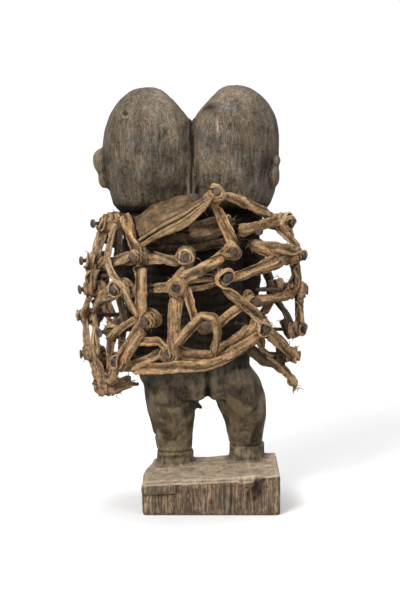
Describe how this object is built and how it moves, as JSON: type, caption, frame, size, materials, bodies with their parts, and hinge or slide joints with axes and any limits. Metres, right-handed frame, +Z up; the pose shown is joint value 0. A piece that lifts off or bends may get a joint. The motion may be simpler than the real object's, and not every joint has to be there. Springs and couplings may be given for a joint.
{
  "type": "nail fetish figure",
  "caption": "Carved wooden figure with two heads on one body and plinth, torso set with iron nails and bound nail to nail with twisted bark and hide strips",
  "frame": {"origin": "centre of the plinth's underside", "axes": "+Z up, +Y the way the faces look, +X to the right when the figure is seen from behind, as in the picture"},
  "size_m": [0.2156, 0.1838, 0.3881],
  "materials": {
    "wood": "dark weathered carved wood with grain, tool marks and worn patches",
    "iron": "dark corroded iron nails",
    "bark": "dry twisted strips of bark and hide, dusty and fibrous",
    "hide": "folded dry tan hide"
  },
  "bodies": {
    "root": {"carved_figure": "wood", "hide_fold": "hide", "nail_front_1": "iron", "nail_front_10": "iron", "nail_front_11": "iron", "nail_front_12": "iron", "nail_front_2": "iron", "nail_front_3": "iron", "nail_front_4": "iron", "nail_front_5": "iron", "nail_front_6": "iron", "nail_front_7": "iron", "nail_front_8": "iron", "nail_front_9": "iron", "nail_inner_left_1": "iron", "nail_inner_left_2": "iron", "nail_inner_left_3": "iron", "nail_inner_left_4": "iron", "nail_inner_left_5": "iron", "nail_inner_right_1": "iron", "nail_inner_right_2": "iron", "nail_inner_right_3": "iron", "nail_inner_right_4": "iron", "nail_inner_right_5": "iron", "nail_inner_right_6": "iron", "nail_left_1": "iron", "nail_left_2": "iron", "nail_left_3": "iron", "nail_left_4": "iron", "nail_left_5": "iron", "nail_left_6": "iron", "nail_middle_1": "iron", "nail_middle_2": "iron", "nail_middle_3": "iron", "nail_nape_1": "iron", "nail_nape_2": "iron", "nail_right_1": "iron", "nail_right_2": "iron", "nail_right_3": "iron", "nail_right_4": "iron", "nail_right_5": "iron", "strip_front_hem": "bark", "strip_front_middle": "bark", "strip_front_upper": "bark", "strip_hem": "bark", "strip_left_edge": "bark", "strip_left_high": "bark", "strip_left_low": "bark", "strip_left_wide": "bark", "strip_left_zigzag": "bark", "strip_looped_end": "bark", "strip_nape_cross": "bark", "strip_right_diagonal": "bark", "strip_right_edge": "bark", "strip_right_low": "bark", "strip_ring": "bark"}
  },
  "joints": []
}
